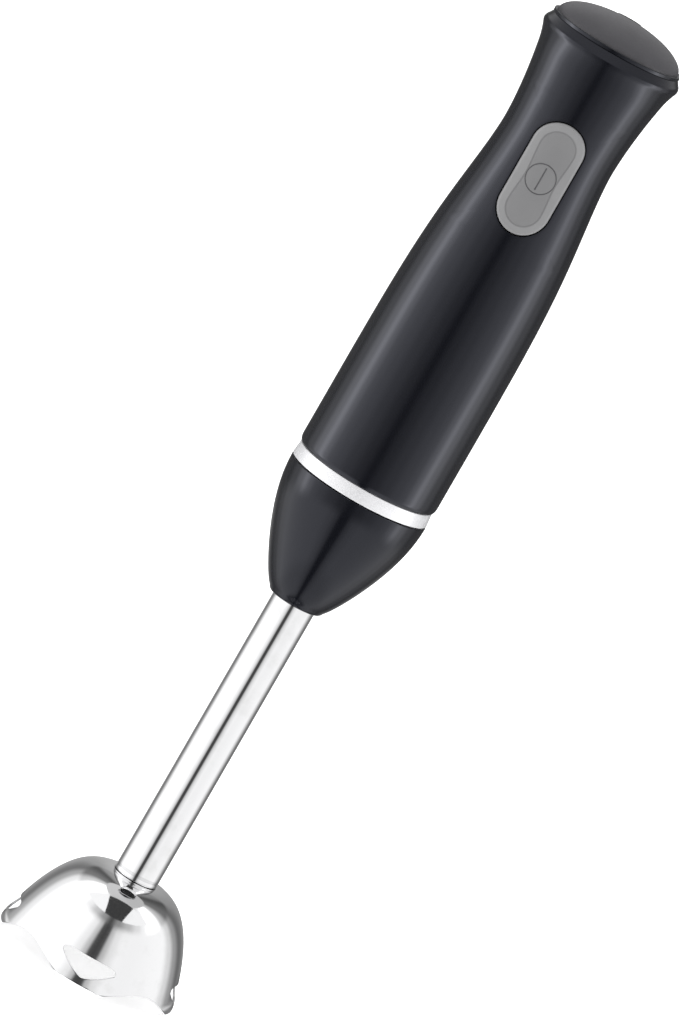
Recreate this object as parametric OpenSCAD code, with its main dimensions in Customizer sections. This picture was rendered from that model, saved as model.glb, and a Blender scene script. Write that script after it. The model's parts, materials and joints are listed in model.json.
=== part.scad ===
// Immersion blender, standing on its blade guard. Units are mm.
// Z runs up the blender's long axis, Z = 0 is the tips of the guard's four lobes.
// The power button faces -Y.

/* [Overall] */
// height of the joint plane between stick and handle
joint_z = 192.6; // [170:1:220]
// height of the corner where the handle turns into its top shoulder
corner_z = 365.3; // [345:1:390]
// largest radius of the handle
handle_r = 26.3; // [24:0.1:32]
// radius of the handle at its waist
waist_r = 20.75; // [20:0.1:24]
// height of the waist above the joint plane
waist_h = 136.7; // [125:1:150]

/* [Top cap] */
// radius of the cap's rim
cap_r = 22.4; // [20:0.1:24]
// height of the cap's dome above its rim
dome_h = 7.3; // [5:0.1:12]
// radius of the hole in the cord gland
cord_r = 3.25; // [2.5:0.05:4]
// tilt of the cord gland from the long axis, degrees
gland_tilt = 12; // [10:1:35]

/* [Power button] */
// width of the button
button_w = 18.6; // [14:0.1:22]
// length of the button
button_l = 41; // [34:0.5:50]
// height of the button's middle
button_z = 319.3; // [310:0.2:330]
// gap round the button
button_gap = 0.45; // [0.3:0.05:0.8]
// how far the button moves when pressed
button_travel = 2; // [1:0.1:2.5]

/* [Stick] */
// outside radius of the stick tube
tube_r = 8; // [6:0.1:9.5]
// wall thickness of the stick tube
tube_t = 0.8; // [0.5:0.1:1.2]
// height of the join between the tube and the blade guard
bell_z = 36.9; // [30:0.5:45]
// height of the collar's small end
collar_z = 147.9; // [130:0.5:160]
// largest radius of the collar
collar_r = 26.1; // [24:0.1:30]

/* [Blade guard] */
// radius of the guard at its rim
guard_r = 33.4; // [30:0.1:40]
// thickness of the guard's steel
guard_t = 0.9; // [0.6:0.05:1.5]
// how far the rim rises between two lobes
rim_rise = 7.1; // [4:0.1:10]
// width of each slot in the guard
slot_w = 20.7; // [14:0.1:24]
// top of each slot
slot_top = 11.9; // [9:0.1:14]
// height of the strip of metal under each slot, at its middle
strip_h = 4.5; // [3:0.1:6]

/* [Drive] */
// radius of the motor shaft and the drive shaft
shaft_r = 2.5; // [2:0.1:3]
// running clearance of each shaft in its bearings, on the radius
run_gap = 0.05; // [0.02:0.01:0.1]
// radius of the tips of the blade
blade_r = 21.5; // [18:0.1:24]
// outside radius of the motor can
can_r = 18.6; // [17:0.1:18.8]

/* [Quick-release] */
// inside radius of the coupling socket
socket_r = 18; // [17:0.1:18.5]
// how far the stick drops as it is screwed off
screw_drop = 12; // [10:0.5:14]

/* [Hidden] */
$fn = 64;
e = 0.01;
dz = joint_z - 190;
wz = joint_z + waist_h;
ct = corner_z;
rim_z = ct + 5.3;
ledge_z = ct + 3.2;
wall = 2.6;
ring_lo = joint_z + 0.4;
ring_hi = joint_z + 5.4;
gap = 0.3;
socket_out = 23.6;
floor_z = joint_z + 13.5;
plate_z = joint_z + 16;
can_z = plate_z + 5.5;
cap2_z = can_z + 44.5;
frame_z = cap2_z + 16.5;
board_lo = frame_z + 13;
board_hi = wz + 11;
bolt_at = 20.8;
tube_in = tube_r - tube_t;
lug_step = 12;

// ---- outline of the handle, radius at each height ----
hr = handle_r;
wr = waist_r;
sw = hr - wr;
zl = joint_z + 34;
zk = ct - 2.6;

// The side eases in to the waist on a bell curve, then flares out to the corner.
function side(z) =
  z < wz ? hr - sw * exp(-pow((wz - z) / (0.267 * waist_h), 1.7))
  : wr + 4 * pow((z - wz) / (zk - wz), 1.7);

handle_out = concat(
  [[hr - 1.0, ring_hi], [hr - 0.35, ring_hi + 0.6], [hr - 0.05, ring_hi + 2]],
  [for (i = [0 : 11]) [side(zl - 2 + i * (wz - zl + 2) / 11), zl - 2 + i * (wz - zl + 2) / 11]],
  [for (i = [1 : 8]) [side(wz + i * (zk - wz) / 8), wz + i * (zk - wz) / 8]],
  [[wr + 4.4, ct - 1.4], [wr + 4.6, ct - 0.2], [wr + 4.4, ct + 0.7], [wr + 3.75, ct + 2.1]],
  [[wr + 2.9, ct + 3.8], [cap_r + 0.3, rim_z]]);

handle_in = concat(
  [[cap_r + 0.3, ledge_z], [20.9, ledge_z], [20.9, ct + 0.6], [21.6, ct - 0.4]],
  [[21.6, ct - 4], [side(zk - 8) - wall, zk - 8]],
  [for (i = [6 : -1 : 1]) [side(wz + i * (zk - wz) / 8) - wall, wz + i * (zk - wz) / 8]],
  [for (i = [11 : -1 : 1]) [min(23.2, side(zl - 2 + i * (wz - zl + 2) / 11) - wall),
     zl - 2 + i * (wz - zl + 2) / 11]],
  [[23.2, zl - 2], [23.2, plate_z + 3], [socket_out, plate_z + 3], [socket_out, ring_hi]]);

module stadium(w, l) {
  translate([-w / 2, -(l - w) / 2]) square([w, l - w]);
  translate([0, (l - w) / 2]) circle(d = w);
  translate([0, -(l - w) / 2]) circle(d = w);
}

// a stadium-shaped bar along Y, from y0 to y1, in the front of the handle
module bar_y(w, l, y0, y1) {
  translate([0, y1, button_z]) rotate([90, 0, 0])
    linear_extrude(y1 - y0) stadium(w, l);
}

module rod(r, z0, z1, x = 0, y = 0) {
  translate([x, y, z0]) cylinder(r = r, h = z1 - z0);
}

module tube(ro, ri, z0, z1, x = 0, y = 0) {
  difference() {
    rod(ro, z0, z1, x, y);
    rod(ri, z0 - 1, z1 + 1, x, y);
  }
}

module box(x0, x1, y0, y1, z0, z1) {
  translate([x0, y0, z0]) cube([x1 - x0, y1 - y0, z1 - z0]);
}

module place_gland() {
  translate([0, 12.4, rim_z + dome_h * 0.72]) rotate([-gland_tilt, 0, 0]) children();
}

module handle_shell() {
  color([0.07, 0.07, 0.08]) difference() {
    rotate_extrude() polygon(concat(handle_out, handle_in));
    bar_y(button_w + 2 * button_gap, button_l + 2 * button_gap, -30, -10);
  }
}

// dome: a slightly full ellipse, cut square at the rim
module top_cap() {
  color([0.2, 0.2, 0.21]) difference() {
    rotate_extrude() polygon(concat(
      [for (i = [0 : 9]) [cap_r * cos(i * 10), rim_z - 0.5 + (dome_h + 0.5) * sin(i * 10)]],
      [[0, rim_z + dome_h - 2.2], [8, rim_z + dome_h - 2.5], [14, rim_z + 2.8], [18.8, rim_z]],
      [[18.8, ct - 2], [21.2, ct - 2], [21.2, ct - 0.2], [20.7, ct + 0.4]],
      [[20.7, ledge_z], [cap_r, ledge_z]]));
    place_gland() rod(5.2, -8, 8);
  }
}

module cord_gland() {
  color([0.08, 0.08, 0.08]) place_gland() difference() {
    union() {
      rod(5.2, -3.6, 0.2);
      rod(6.2, -5.2, -3.6);
      rod(4.7, -6.8, -5.2);
      rotate_extrude() polygon([[0, 0.2], [5.2, 0.2], [4.5, 0.9], [0, 0.9]]);
    }
    rod(cord_r, -9, 4);
  }
}

module trim_ring() {
  color([0.75, 0.75, 0.76]) rotate_extrude() polygon([[23, ring_lo], [25.7, ring_lo],
    [26.05, ring_lo + 0.35], [26.05, ring_hi - 0.35], [25.8, ring_hi], [23, ring_hi]]);
}

// three stepped grooves that the stick's lugs screw down through
module coupling_socket() {
  color([0.12, 0.12, 0.13]) difference() {
    union() {
      rod(23, ring_lo, ring_hi);
      rod(socket_out, ring_hi, plate_z);
    }
    rod(socket_r, ring_lo - 1, floor_z);
    rod(10, floor_z - 1, plate_z + 1);
    for (k = [0 : 2]) {
      for (i = [0 : 5]) rotate([0, 0, k * 120 + i * lug_step])
        box(socket_r - 3, 20.2, -3.4, 3.4, ring_lo - 1, joint_z + 7.2 - i * screw_drop / 10);
      rotate([0, 0, 30 + k * 120]) rod(1.35, floor_z - 1, plate_z + 1, 12.8);
    }
  }
}

module socket_screws() {
  color([0.6, 0.6, 0.6]) for (k = [0 : 2]) rotate([0, 0, 30 + k * 120]) {
    rod(1.35, floor_z, plate_z + 3, 12.8);
    rod(2.2, floor_z - 1.5, floor_z, 12.8);
  }
}

module motor_bracket() {
  color([0.3, 0.3, 0.32]) difference() {
    union() {
      rod(socket_out, plate_z, plate_z + 3);
      tube(23, can_r + 0.8, plate_z + 3 - e, plate_z + 11);
    }
    rod(8.2, plate_z - 1, plate_z + 5);
    for (k = [0 : 2]) rotate([0, 0, 30 + k * 120]) rod(1.35, plate_z - 1, plate_z + 4, 12.8);
    for (s = [-1, 1]) rod(1.2, plate_z + 1.5, plate_z + 12, s * bolt_at);
  }
}

module lower_damper() {
  color([0.1, 0.1, 0.1]) rotate_extrude() polygon([[12, plate_z + 3], [can_r + 0.8, plate_z + 3],
    [can_r + 0.8, plate_z + 11], [can_r, plate_z + 11], [can_r, can_z], [12, can_z]]);
}

module upper_damper() {
  color([0.1, 0.1, 0.1]) tube(17, 12, cap2_z + 14, frame_z);
}

module motor_can() {
  color([0.5, 0.5, 0.52]) difference() {
    union() {
      tube(can_r, can_r - 1.3, can_z, cap2_z);
      rod(can_r - e, can_z, can_z + 1.5);
      rod(6.5, can_z, can_z + 6);
    }
    rod(3.4, can_z - 1, can_z + 2);
    rod(5, can_z + 1.5, can_z + 7);
    for (k = [0 : 3]) rotate([0, 0, 45 + k * 90]) rod(2, can_z - 1, can_z + 2, 11.5);
  }
}

module motor_magnets() {
  color([0.15, 0.15, 0.16]) for (k = [0, 1]) rotate([0, 0, 20 + k * 180])
    rotate_extrude(angle = 140) translate([14.3, can_z + 9]) square([can_r - 15.6, 30]);
}

module motor_end_cap() {
  color([0.1, 0.1, 0.1]) difference() {
    union() {
      tube(can_r, can_r - 2.2, cap2_z, cap2_z + 14);
      rod(can_r - e, cap2_z + 11.5, cap2_z + 14);
      rod(6.5, cap2_z + 8, cap2_z + 12);
      for (s = [-1, 1]) box(s > 0 ? 7 : -can_r + 1, s > 0 ? can_r - 1 : -7, -4, 4, cap2_z + 0.2, cap2_z + 12);
    }
    rod(4.5, cap2_z + 7, cap2_z + 11.5);
    rod(3.4, cap2_z + 11, cap2_z + 15);
    for (s = [-1, 1]) box(s > 0 ? 6.4 : -can_r + 1.6, s > 0 ? can_r - 1.6 : -6.4, -2, 2, cap2_z + 2, cap2_z + 6);
  }
}

module front_bearing() {
  color([0.7, 0.55, 0.3]) tube(5, shaft_r + run_gap, can_z + 1.5, can_z + 6);
}

module rear_bearing() {
  color([0.7, 0.55, 0.3]) tube(4.5, shaft_r + run_gap, cap2_z + 8, cap2_z + 11.5);
}

module carbon_brushes() {
  color([0.12, 0.12, 0.12]) for (s = [-1, 1])
    box(s > 0 ? 5.75 : -12.5, s > 0 ? 12.5 : -5.75, -2, 2, cap2_z + 2, cap2_z + 6);
}

// one helical spring along +X from x0, as a closed skin of small quads
module spring_x(x0, len, r, wire, turns) {
  n = turns * 14;
  m = 6;
  pts = [for (i = [0 : n]) for (j = [0 : m - 1])
    [x0 + wire + (len - 2 * wire) * i / n + wire * sin(j * 360 / m),
     (r + wire * cos(j * 360 / m)) * cos(i * 360 / 14),
     (r + wire * cos(j * 360 / m)) * sin(i * 360 / 14)]];
  sides = [for (i = [0 : n - 1]) for (j = [0 : m - 1])
    [i * m + j, i * m + (j + 1) % m, (i + 1) * m + (j + 1) % m, (i + 1) * m + j]];
  polyhedron(points = pts, faces = concat(sides,
    [[for (j = [m - 1 : -1 : 0]) j]], [[for (j = [0 : m - 1]) n * m + j]]), convexity = 8);
}

module brush_springs() {
  color([0.75, 0.6, 0.3]) for (s = [0, 180])
    translate([0, 0, cap2_z + 4]) rotate([0, 0, s]) spring_x(12.5, can_r - 14.1, 1.5, 0.2, 5);
}

module inner_frame() {
  color([0.75, 0.75, 0.72]) difference() {
    union() {
      tube(22.3, 12, frame_z, frame_z + 3);
      box(-15, 15, 2, 4.5, frame_z + 1, wz + 23);
      for (s = [-1, 1]) box(s > 0 ? 13 : -15, s > 0 ? 15 : -13, -7, 4.5, frame_z + 1, button_z - 24);
      box(-9, 9, -1.5, 7.8, wz + 15, wz + 23);
    }
    rod(3.1, wz + 14, wz + 24, 0, 8);
    for (s = [-1, 1]) rod(1.2, frame_z - 1, frame_z + 4, s * bolt_at);
    for (s = [-1, 1]) translate([s * 6.2, 8, wz + 19]) rotate([90, 0, 0]) cylinder(r = 1.1, h = 7);
    for (z = [board_lo + 4, board_hi - 4]) for (s = [-1, 1])
      translate([s * 11.5, 5, z]) rotate([90, 0, 0]) cylinder(r = 0.9, h = 2.5);
    for (z = [button_z - 7, button_z + 7])
      translate([0, 5, z]) rotate([90, 0, 0]) cylinder(r = 1.1, h = 4);
  }
}

module tie_bolts() {
  color([0.6, 0.6, 0.6]) for (s = [-1, 1]) {
    rod(1.2, plate_z + 3, frame_z + 3, s * bolt_at);
    difference() {
      rod(1.8, frame_z + 3, frame_z + 5, s * bolt_at);
      box(s * bolt_at - 3, s * bolt_at + 3, -0.3, 0.3, frame_z + 4.2, frame_z + 6);
    }
  }
}

module circuit_board() {
  color([0.1, 0.35, 0.15]) difference() {
    box(-14, 14, 4.5, 6.1, board_lo, board_hi);
    for (z = [board_lo + 4, board_hi - 4]) for (s = [-1, 1])
      translate([s * 11.5, 7, z]) rotate([90, 0, 0]) cylinder(r = 0.9, h = 4);
  }
}

module board_screws() {
  color([0.6, 0.6, 0.6]) for (z = [board_lo + 4, board_hi - 4]) for (s = [-1, 1])
    translate([s * 11.5, 6.1, z]) rotate([90, 0, 0]) {
      cylinder(r = 0.9, h = 3.4);
      translate([0, 0, -1.2]) cylinder(r = 1.7, h = 1.2);
    }
}

module bridge_rectifier() {
  color([0.12, 0.12, 0.12]) difference() {
    box(-7, 7, 6.1, 10.1, board_lo + 9, board_lo + 19);
    translate([4.6, 11, board_lo + 16.6]) rotate([90, 0, 0]) cylinder(r = 0.8, h = 2);
  }
}

module filter_capacitor() {
  color([0.75, 0.6, 0.15]) box(-6.5, 6.5, 6.1, 12.1, board_lo + 23, board_lo + 35);
}

module filter_chokes() {
  color([0.65, 0.35, 0.15]) for (s = [-1, 1]) {
    translate([s * 7.5, 8.9, 0]) rod(1.4, board_hi - 16, board_hi - 6);
    tube(2.7, 1.4, board_hi - 14.5, board_hi - 7.5, s * 7.5, 8.9);
  }
}

module microswitch() {
  color([0.1, 0.1, 0.1]) difference() {
    union() {
      box(-3.2, 3.2, -8, 2, button_z - 10, button_z + 10);
      for (z = [button_z - 7, button_z + 7]) translate([0, 4.5, z]) rotate([90, 0, 0]) cylinder(r = 1.1, h = 2.6);
    }
    translate([0, -4, button_z]) rotate([90, 0, 0]) cylinder(r = 1.5 + run_gap, h = 6);
  }
}

module switch_plunger() {
  color([0.85, 0.2, 0.15]) translate([0, -6.2, button_z]) rotate([90, 0, 0])
    cylinder(r = 1.5, h = 4.2);
}

module motor_leads() {
  color([0.7, 0.1, 0.1]) for (s = [-1, 1]) {
    rod(0.8, cap2_z + 14, board_lo + 6, s * 8.6, 6.9);
    translate([s * 8.6, 6.9, board_lo + 6]) sphere(r = 0.8);
  }
}

module cord_clamp() {
  color([0.75, 0.75, 0.72]) difference() {
    box(-9, 9, 8.2, 12, wz + 16, wz + 22);
    rod(3.1, wz + 14, wz + 24, 0, 8);
    for (s = [-1, 1]) translate([s * 6.2, 13, wz + 19]) rotate([90, 0, 0]) cylinder(r = 1.1, h = 7);
  }
}

module clamp_screws() {
  color([0.6, 0.6, 0.6]) for (s = [-1, 1]) translate([s * 6.2, 12, wz + 19]) rotate([90, 0, 0]) {
    cylinder(r = 1.1, h = 10.5);
    translate([0, 0, -1.4]) cylinder(r = 2.1, h = 1.4);
  }
}

module motor_shaft() {
  color([0.7, 0.7, 0.72]) rod(shaft_r, joint_z + 7, cap2_z + 13);
}

// five-slot laminated core
module armature_core() {
  color([0.45, 0.45, 0.47]) difference() {
    tube(13.8, shaft_r, can_z + 11, can_z + 37);
    for (k = [0 : 4]) rotate([0, 0, k * 72]) {
      box(5.6, 12.2, -2.6, 2.6, can_z + 10, can_z + 38);
      box(12, 15, -0.8, 0.8, can_z + 10, can_z + 38);
    }
  }
}

module armature_windings() {
  color([0.72, 0.35, 0.12]) {
    tube(12.2, shaft_r + 1.2, can_z + 7, can_z + 11);
    tube(12.2, shaft_r + 1.2, can_z + 37, can_z + 41);
    for (k = [0 : 4]) rotate([0, 0, k * 72]) box(5.6, 12, -2.6, 2.6, can_z + 10.9, can_z + 37.1);
  }
}

module commutator() {
  color([0.75, 0.42, 0.2]) difference() {
    tube(5.6, shaft_r, can_z + 41.5, cap2_z + 7.4);
    for (k = [0 : 9]) rotate([0, 0, k * 36]) box(5.1, 6, -0.2, 0.2, can_z + 43, cap2_z + 8);
  }
}

// four-lobed male dog on the motor shaft
module motor_coupling() {
  color([0.2, 0.2, 0.22]) difference() {
    union() {
      rod(7, joint_z + 11.5, joint_z + 17.5);
      rod(3.6, joint_z + 4, joint_z + 12);
      for (k = [0, 90]) rotate([0, 0, k]) box(-5.4, 5.4, -1.6, 1.6, joint_z + 4, joint_z + 12);
    }
    rod(shaft_r, joint_z + 7, joint_z + 18);
  }
}

module shaft_coupling() {
  color([0.85, 0.85, 0.82]) difference() {
    union() {
      rod(7.4, joint_z - 4, joint_z + 11);
      rod(5, joint_z - 6, joint_z - 4);
    }
    rod(shaft_r, joint_z - 7, joint_z + 2);
    rod(3.95, joint_z + 3, joint_z + 12);
    for (k = [0, 90]) rotate([0, 0, k]) box(-5.75, 5.75, -1.95, 1.95, joint_z + 3, joint_z + 12);
  }
}

module drive_shaft() {
  color([0.72, 0.72, 0.74]) rod(shaft_r, 7.5, joint_z + 2);
}

module socket_seal() {
  color([0.55, 0.1, 0.08]) tube(socket_r - run_gap, 15.6, floor_z - 1.7, floor_z - gap);
}

// ---- stick ----
cz = collar_z;
function bellside(t) = tube_r + 2.1 + (collar_r - tube_r - 2.1) * pow(sin(90 * pow(t, 1.29)), 0.63);

collar_out = concat([[tube_r, cz], [tube_r + 0.9, cz], [tube_r + 1.9, cz + 0.5]],
  [for (i = [1 : 15]) [bellside(0.018 + 0.982 * i / 15), cz + 0.9 + (joint_z - cz - 0.9) * i / 15]]);
collar_in = concat([[collar_r - 2.4, joint_z]],
  [for (i = [14 : -1 : 4]) [bellside(0.018 + 0.982 * i / 15) - 2.4, cz + 0.9 + (joint_z - cz - 0.9) * i / 15]],
  [[tube_r, cz + 8]]);

module collar() {
  color([0.07, 0.07, 0.08]) difference() {
    union() {
      rotate_extrude() polygon(concat(collar_out, collar_in));
      intersection() {
        for (k = [0 : 2]) rotate([0, 0, 90 + k * 120]) rod(2.7, joint_z - 13, joint_z - 3, 20.6);
        rotate_extrude() polygon(concat([[0, cz]], collar_out, [[0, joint_z]]));
      }
    }
    for (k = [0 : 2]) rotate([0, 0, 90 + k * 120]) rod(1.2, joint_z - 11, joint_z + 1, 20.6);
  }
}

// spigot with three lugs that screws into the coupling socket
module collar_insert() {
  color([0.12, 0.12, 0.13]) difference() {
    union() {
      rod(collar_r - 2.8, joint_z - 3, joint_z);
      rod(socket_r - 0.2, joint_z - 14, joint_z + 11.5);
      for (k = [0 : 2]) rotate([0, 0, k * 120 - 5]) rotate_extrude(angle = 10)
        translate([socket_r - 1, joint_z + 2.9]) square([2.6, 3.4]);
    }
    rod(15, joint_z - 11, joint_z + 12);
    rod(tube_r, joint_z - 15, joint_z - 10);
    for (k = [0 : 2]) rotate([0, 0, 90 + k * 120]) {
      rod(1.2, joint_z - 4, joint_z + 1, 20.6);
      rod(2.2, joint_z - 1.6, joint_z + 1, 20.6);
    }
  }
}

module collar_screws() {
  color([0.6, 0.6, 0.6]) for (k = [0 : 2]) rotate([0, 0, 90 + k * 120]) {
    rod(1.2, joint_z - 10.5, joint_z - 1.6, 20.6);
    rod(2.2, joint_z - 1.6, joint_z - 0.2, 20.6);
  }
}

module shaft_tube() {
  color([0.8, 0.8, 0.82]) tube(tube_r, tube_in, bell_z, joint_z - 9);
}

module upper_bushing() {
  color([0.85, 0.85, 0.82]) difference() {
    union() {
      rod(tube_in, joint_z - 20, joint_z - 9);
      rod(tube_r + 1, joint_z - 9, joint_z - 7.6);
    }
    rod(shaft_r + run_gap, joint_z - 21, joint_z - 6);
  }
}

module bearing_housing() {
  color([0.85, 0.85, 0.82]) difference() {
    union() {
      rod(tube_in, 21, bell_z + 17);
      rod(10.5, bell_z - 4.6, bell_z - 1.5);
    }
    rod(4.5, 30, bell_z + 18);
    rod(3.2, 20, bell_z);
    rod(5.4, 20, 26);
  }
}

module lower_bushing() {
  color([0.7, 0.55, 0.3]) tube(4.5, shaft_r + run_gap, bell_z, bell_z + 14);
}

module shaft_seal() {
  color([0.1, 0.1, 0.1]) tube(5.4, shaft_r + run_gap, 21.5, 26);
}

module thrust_washer() {
  color([0.9, 0.9, 0.88]) tube(4.6, shaft_r, 18.4, 19.4);
}

// two wings, pitched and drooped
module blade() {
  color([0.8, 0.8, 0.82]) difference() {
    union() {
      rod(4.2, 12, 18.4);
      for (k = [0, 180]) rotate([0, 0, k + 35]) translate([0, 0, 13.6]) rotate([9, 3, 0])
        translate([0, 0, -0.6]) linear_extrude(1.2) polygon([[0, -4], [blade_r - 5, -4.4],
          [blade_r, -1.5], [blade_r - 1.5, 2.6], [blade_r - 9, 3.6], [0, 4]]);
    }
    rod(shaft_r, 11, 19);
  }
}

module blade_nut() {
  color([0.75, 0.75, 0.77]) difference() {
    union() {
      translate([0, 0, 8.2]) cylinder(r = 4.6, h = 3.4, $fn = 6);
      rod(4.9, 11.4, 12);
    }
    rod(shaft_r, 7, 13);
  }
}

// outline of the guard's dome from its neck to its rim, and its outward normal
function dome(a) = [tube_r + (guard_r + 0.4 - tube_r) * pow(sin(a), 0.78), bell_z * pow(cos(a), 1.64)];
function slope(a) = dome(a + 0.5) - dome(a - 0.5);
function out_by(a) = [-slope(a)[1], slope(a)[0]] / norm(slope(a));
guard_pts = concat([[guard_r - 0.25, 0], [guard_r, 0.6]],
  [for (i = [0 : 11]) dome(80 - i * 6.6)], [[tube_r, bell_z]]);
guard_in = concat([[tube_in, bell_z], [tube_in, bell_z - 1.5], [10.5, bell_z - 1.5]],
  [for (i = [10 : -1 : 0]) dome(80 - i * 6.6) - guard_t * out_by(80 - i * 6.6)],
  [[guard_r - guard_t, 0.6], [guard_r - guard_t + 0.25, 0]]);

function rim_at(p) = rim_rise * pow(cos(2 * asin(min(1, abs(p) / (guard_r - 0.4)))), 2);

module blade_guard() {
  color([0.8, 0.8, 0.82]) difference() {
    rotate_extrude() polygon(concat(guard_pts, guard_in));
    for (k = [45, 135]) rotate([0, 0, k]) rotate([90, 0, 90]) translate([0, 0, -40]) linear_extrude(80)
      polygon(concat([[-23.2, -2]], [for (p = [-23.2 : 2.9 : 23.3]) [p, rim_at(p)]], [[23.2, -2]]));
    for (k = [0, 90]) rotate([0, 0, k]) translate([0, 40, 0]) rotate([90, 0, 0]) linear_extrude(80) slot_shape();
    for (s = [-1, 1]) rotate([0, 0, s * 90]) vent();
  }
}

module slot_shape() {
  h = slot_w / 2;
  polygon(concat([for (x = [-1 : 0.25 : 1]) [x * (h - 0.6), strip_h + (slot_top - strip_h - 2.8) * pow(abs(x), 1.3)]],
    [[h, slot_top - 1.9], [h - 0.4, slot_top - 0.8], [h - 1.3, slot_top - 0.15], [h - 2.1, slot_top]],
    [[-h + 2.1, slot_top], [-h + 1.3, slot_top - 0.15], [-h + 0.4, slot_top - 0.8], [-h, slot_top - 1.9]]));
}

module vent() {
  translate([17.2, 0, bell_z - 8]) linear_extrude(12) rotate([0, 0, 90]) stadium(3.4, 5.8);
}

// ---- power button: a slice of the handle's own skin, standing 0.35 proud ----
module button_skin(d) {
  rotate_extrude() polygon(concat([[0, button_z - 26]],
    [for (i = [0 : 8]) [side(button_z - 26 + i * 6.5) + d, button_z - 26 + i * 6.5]],
    [[0, button_z + 26]]));
}

module power_button() {
  color([0.3, 0.3, 0.32]) difference() {
    union() {
      difference() {
        intersection() {
          bar_y(button_w, button_l, -30, -12.9);
          button_skin(0.35);
        }
        bar_y(button_w - 3, button_l - 3, -18.4, -12);
      }
      translate([0, -10.7, button_z]) rotate([90, 0, 0]) cylinder(r = 2.6, h = 8.5);
      for (s = [-1, 1]) {
        end = button_z + s * button_l / 2;
        reach = sqrt(pow(side(end - 2 * s) - wall - 0.5, 2) - 25) - (s < 0 ? 0.2 : 0);
        box(-5, 5, -reach, 3 - reach, end - 2, end + 2);
      }
    }
    difference() {
      bar_y(12.9, 35.3, -30, -10);
      bar_y(12.3, 34.7, -31, -9);
      button_skin(-0.15);
    }
    difference() {
      translate([0, -9, button_z]) rotate([90, 0, 0]) cylinder(r = 5.5, h = 20);
      translate([0, -8, button_z]) rotate([90, 0, 0]) cylinder(r = 5.2, h = 22);
      button_skin(-0.15);
    }
  }
}

handle_shell();
top_cap();
cord_gland();
trim_ring();
coupling_socket();
socket_screws();
motor_bracket();
lower_damper();
upper_damper();
motor_can();
motor_magnets();
motor_end_cap();
front_bearing();
rear_bearing();
carbon_brushes();
brush_springs();
inner_frame();
tie_bolts();
circuit_board();
board_screws();
bridge_rectifier();
filter_capacitor();
filter_chokes();
microswitch();
motor_leads();
cord_clamp();
clamp_screws();
motor_shaft();
armature_core();
armature_windings();
commutator();
motor_coupling();
socket_seal();
collar();
collar_insert();
collar_screws();
shaft_tube();
upper_bushing();
bearing_housing();
lower_bushing();
shaft_seal();
blade_guard();
drive_shaft();
shaft_coupling();
thrust_washer();
blade();
blade_nut();
power_button();
switch_plunger();
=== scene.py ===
"""Looks of the immersion blender: smooth outer pieces, finishes for every part, and the studio round it.

Lengths here are in millimetres until mesh_piece() turns them to metres.
"""
import json
import math

import bmesh
import bpy
import numpy as np
from mathutils import Matrix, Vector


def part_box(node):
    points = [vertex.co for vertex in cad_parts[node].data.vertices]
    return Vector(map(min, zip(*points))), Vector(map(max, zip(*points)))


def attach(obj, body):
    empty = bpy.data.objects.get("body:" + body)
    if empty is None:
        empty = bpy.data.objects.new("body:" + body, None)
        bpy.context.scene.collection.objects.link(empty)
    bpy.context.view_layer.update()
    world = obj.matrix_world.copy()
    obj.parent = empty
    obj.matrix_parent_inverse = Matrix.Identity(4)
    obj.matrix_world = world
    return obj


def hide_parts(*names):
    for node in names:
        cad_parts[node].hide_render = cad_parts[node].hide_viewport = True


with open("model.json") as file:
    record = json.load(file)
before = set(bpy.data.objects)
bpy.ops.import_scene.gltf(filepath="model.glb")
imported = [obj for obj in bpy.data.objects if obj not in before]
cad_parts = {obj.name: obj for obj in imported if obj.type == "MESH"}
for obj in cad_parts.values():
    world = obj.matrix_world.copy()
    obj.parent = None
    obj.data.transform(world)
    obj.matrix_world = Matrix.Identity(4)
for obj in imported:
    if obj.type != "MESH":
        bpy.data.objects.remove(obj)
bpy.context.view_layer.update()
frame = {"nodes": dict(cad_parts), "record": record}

bl_info = {
    "name": "Immersion Blender",
    "version": (1, 0, 0),
    "blender": (4, 5, 0),
    "location": "View3D > Sidebar > Blender",
    "description": "Outer pieces and finishes of a hand-held immersion blender",
    "category": "Object",
}

MM = 0.001


def mm_box(node):
    """Lowest and highest corner of a CAD node, in millimetres."""
    low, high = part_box(node)
    return np.array(low) / MM, np.array(high) / MM


# Heights that the CAD parts fix.
RING_LO = float(mm_box("trim_ring")[0][2])
RING_HI = float(mm_box("trim_ring")[1][2])
CAP_TOP = float(mm_box("top_cap")[1][2])
SHELL_TOP = float(mm_box("handle_shell")[1][2])
COLLAR_LO = float(mm_box("collar")[0][2])
COLLAR_HI = float(mm_box("collar")[1][2])
BELL_TOP = float(mm_box("blade_guard")[1][2])
TUBE_TOP = float(mm_box("shaft_tube")[1][2])
CORNER = SHELL_TOP - 5.3
WAIST_RISE = 136.7
WAIST = COLLAR_HI + WAIST_RISE

# The guard's dome: powers of its radius and height curves, its flare past the rim, and its slots and vents.
DOME_R_POWER, DOME_Z_POWER, DOME_FLARE = 0.78, 1.64, 0.4
SLOT_HALF, SLOT_MID, SLOT_FLOOR, SLOT_REACH = 10.35, 10.0, 4.5, 32.2
VENT_HALF, VENT_OUT = 2.9, 17.0

# The cord gland's place in the cap: behind the long axis, above the shell's top, and leaning back.
GLAND_BACK, GLAND_UP, GLAND_TILT, GLAND_R = 12.4, 6.256, math.radians(12), 5.3

# The studio, in metres: the tent's radius and top, the cards' height, and the camera.
TENT_R, TENT_TOP, ROOF = 0.15, 0.42, 0.62
CARD_Z, CARD_BACK = 0.17, -0.055
CAMERA_AWAY, CAMERA_LENS = 3.74, 390.1
CAMERA_LOOK = (-0.0028, 0.0, 0.1839)
CAMERA_AZ, CAMERA_EL, CAMERA_ROLL = math.radians(-1.5), math.asin(0.18), math.radians(30)


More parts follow.
